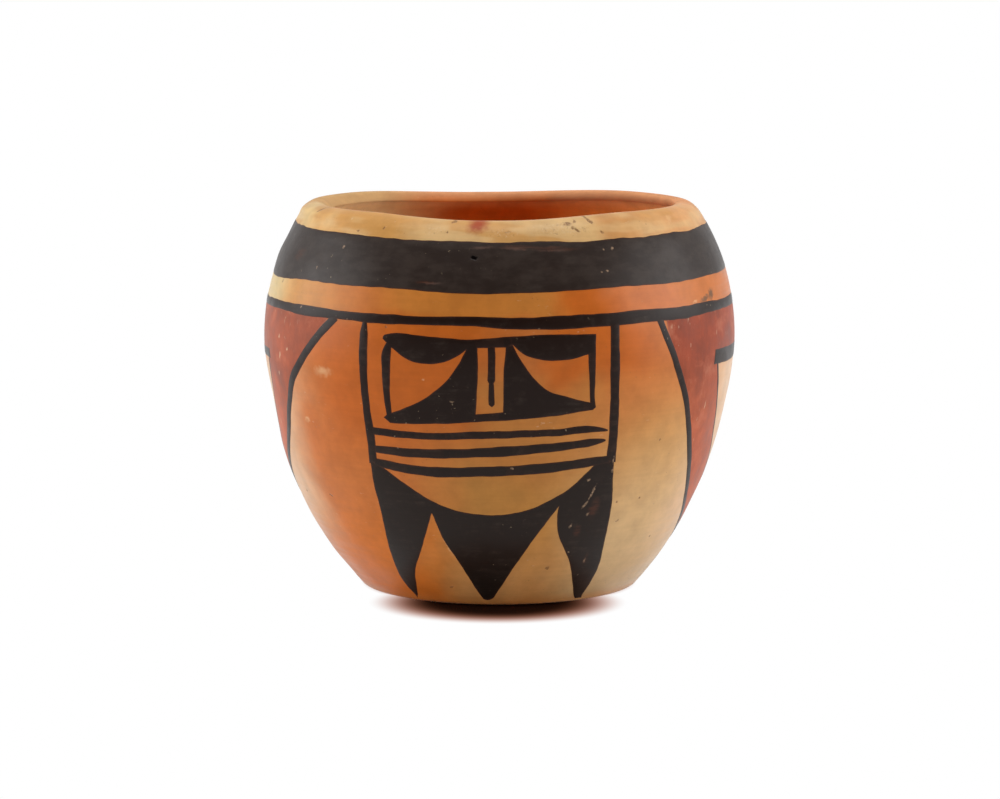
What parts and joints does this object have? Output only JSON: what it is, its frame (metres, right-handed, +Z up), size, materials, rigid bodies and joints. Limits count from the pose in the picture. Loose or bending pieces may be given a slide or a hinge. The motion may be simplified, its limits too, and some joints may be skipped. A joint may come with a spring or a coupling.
{
  "type": "painted pottery jar",
  "caption": "Small round coil-built earthenware jar with an incurved rounded lip, burnished buff clay and painted black bands, panel and red side figures, for holding small things.",
  "frame": {"origin": "centre of the flat foot, on the surface that the jar stands on", "axes": "+Z up along the jar's axis, -Y towards the main painted panel, +X to its right as seen from the front"},
  "size_m": [0.1026, 0.1026, 0.0836],
  "materials": {
    "clay": "burnished unglazed clay, orange to buff from the firing, satin",
    "black_paint": "brushed brown-black mineral paint, fired on, dull satin",
    "red_slip": "brushed dull red clay slip, fired on, matte"
  },
  "bodies": {
    "root": {"base_dish": "clay", "wall_coil_1": "clay", "wall_coil_2": "clay", "wall_coil_3": "clay", "wall_coil_4": "clay", "wall_coil_5": "clay", "rim_coil": "clay", "shoulder_band": "black_paint", "framing_line": "black_paint", "front_bars": "black_paint", "front_window": "black_paint", "front_centre_stroke": "black_paint", "front_stripes": "black_paint", "front_pendants": "black_paint", "back_bars": "black_paint", "back_window": "black_paint", "back_centre_stroke": "black_paint", "back_stripes": "black_paint", "back_pendants": "black_paint", "right_wing_outline": "black_paint", "right_wing_bar": "black_paint", "left_wing_outline": "black_paint", "left_wing_bar": "black_paint", "right_wing_slip": "red_slip", "left_wing_slip": "red_slip"}
  },
  "joints": []
}
